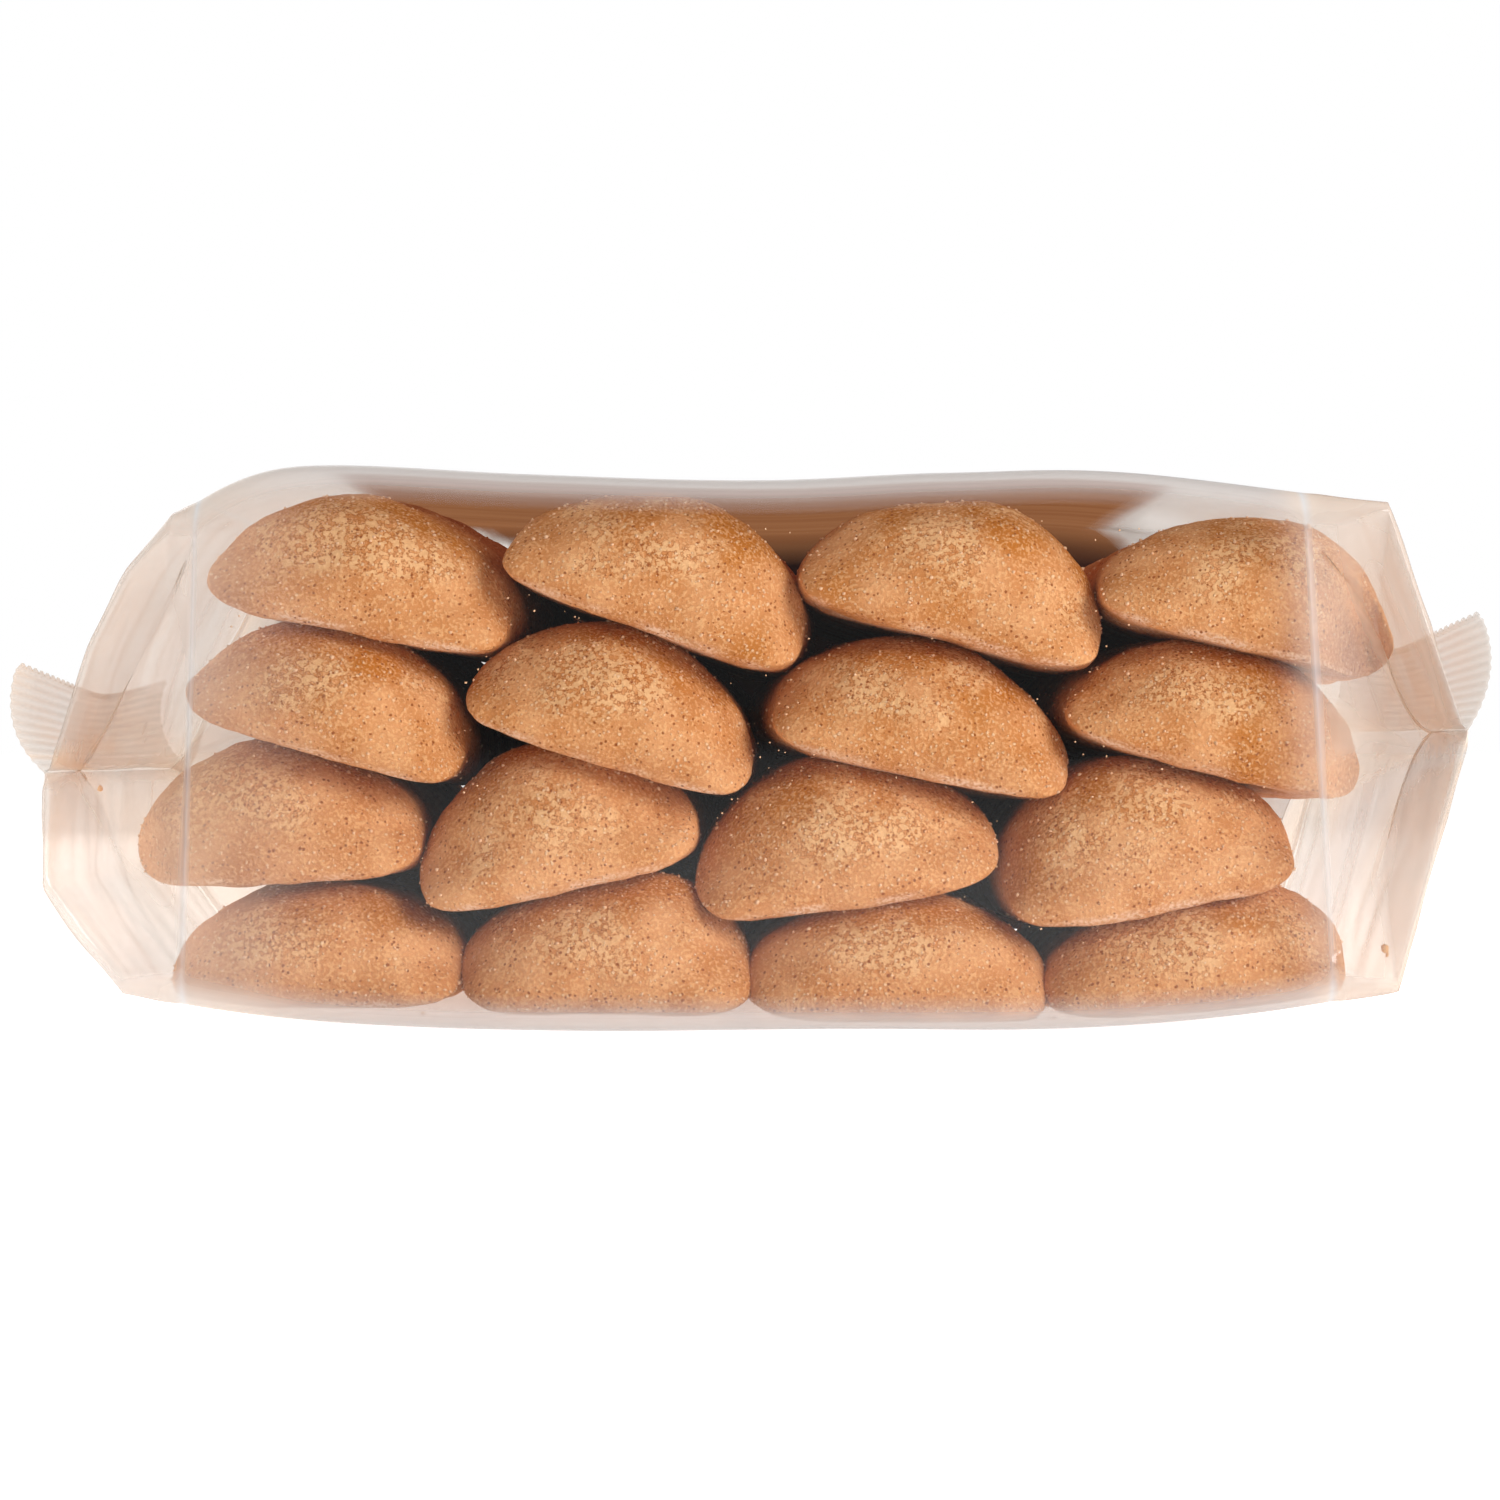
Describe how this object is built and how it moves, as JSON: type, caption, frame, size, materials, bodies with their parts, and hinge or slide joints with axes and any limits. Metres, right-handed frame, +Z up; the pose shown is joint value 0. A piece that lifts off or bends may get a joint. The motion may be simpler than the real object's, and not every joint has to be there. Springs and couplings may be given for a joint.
{
  "type": "ladyfinger pack",
  "caption": "Clear sealed film pack of ladyfinger biscuits stacked end-on in rows, with tucked gusset ends and upright crimped seal fins.",
  "frame": {"origin": "on the surface the pack lies on, under the middle of its box", "axes": "+X along the pack from seal to seal, +Y from the front, where the biscuits show end on, to the back, +Z up"},
  "size_m": [0.1798, 0.118, 0.0681],
  "materials": {
    "film": "clear glossy packing film, faintly warm",
    "biscuit": "baked sponge with a crackled sugar crust",
    "sugar": "loose sugar grains and crumbs",
    "print": "plain dark brown print on the film"
  },
  "bodies": {
    "root": {"film_pack": "film"}
  },
  "joints": []
}
